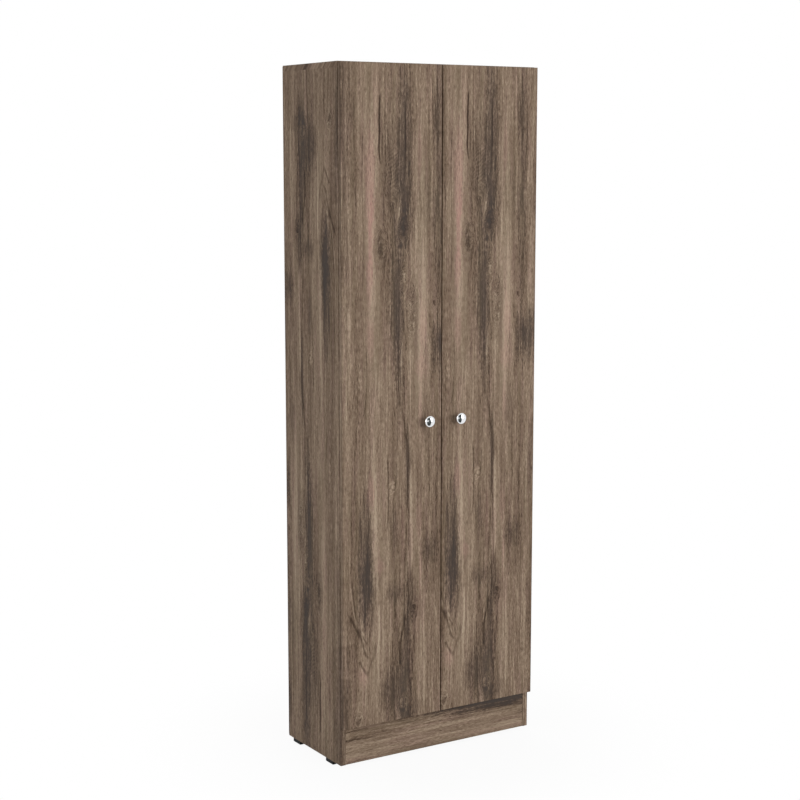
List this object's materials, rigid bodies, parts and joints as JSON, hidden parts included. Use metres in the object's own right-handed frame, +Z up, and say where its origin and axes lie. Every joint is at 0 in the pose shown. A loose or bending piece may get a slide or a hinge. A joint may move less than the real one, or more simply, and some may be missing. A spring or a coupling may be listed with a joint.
{
  "type": "storage cabinet",
  "caption": "Tall free-standing two-door storage cabinet in a dark grey-brown oak print, with shelves inside, round chrome knobs, a recessed plinth and low glides.",
  "frame": {"origin": "on the floor under the glides, at the middle of the width and of the whole depth from the knobs to the back", "axes": "+X to the right as seen from the front, +Y from the doors to the back, +Z up; the doors face -Y"},
  "size_m": [0.6, 0.3294, 1.816],
  "materials": {
    "oak_print_board": "satin laminated board with a grey-brown oak print",
    "backing_board": "thin hard fibreboard, matt",
    "strip_plastic": "dark brown extruded plastic",
    "black_plastic": "moulded black plastic",
    "bracket_plastic": "moulded brown plastic",
    "soft_pad": "soft translucent grey",
    "knob_chrome": "polished chrome plate",
    "screw_steel": "zinc-plated steel",
    "hinge_nickel": "nickel-plated pressed steel",
    "cam_zinc": "die-cast zinc"
  },
  "bodies": {
    "carcass": {"back_joint_strip": "strip_plastic", "bottom_panel": "oak_print_board", "cam_bolts": "cam_zinc", "cam_locks": "cam_zinc", "corner_blocks": "bracket_plastic", "fixed_shelf": "oak_print_board", "front_left_glide": "black_plastic", "front_right_glide": "black_plastic", "left_back_panel": "backing_board", "left_hinge_arms": "hinge_nickel", "left_hinge_plates": "hinge_nickel", "left_side_panel": "oak_print_board", "loose_shelf_1": "oak_print_board", "loose_shelf_2": "oak_print_board", "loose_shelf_3": "oak_print_board", "loose_shelf_4": "oak_print_board", "plinth_board": "oak_print_board", "rear_left_glide": "black_plastic", "rear_right_glide": "black_plastic", "right_back_panel": "backing_board", "right_hinge_arms": "hinge_nickel", "right_hinge_plates": "hinge_nickel", "right_side_panel": "oak_print_board", "shelf_brackets": "bracket_plastic", "top_panel": "oak_print_board"},
    "left_door": {"left_door": "oak_print_board", "left_knob": "knob_chrome", "left_knob_screw": "screw_steel", "left_door_bumpers": "soft_pad", "left_hinge_cups": "hinge_nickel", "left_hinge_pins": "hinge_nickel"},
    "right_door": {"right_door": "oak_print_board", "right_knob": "knob_chrome", "right_knob_screw": "screw_steel", "right_door_bumpers": "soft_pad", "right_hinge_cups": "hinge_nickel", "right_hinge_pins": "hinge_nickel"}
  },
  "joints": [
    {"name": "left_door_hinge", "type": "hinge", "parent": "carcass", "child": "left_door", "pos_m": [-0.2942, -0.13225, 0.9], "axis": [0, 0, -1], "range_deg": [0, 95]},
    {"name": "right_door_hinge", "type": "hinge", "parent": "carcass", "child": "right_door", "pos_m": [0.2942, -0.13225, 0.9], "axis": [0, 0, 1], "range_deg": [0, 95]}
  ]
}
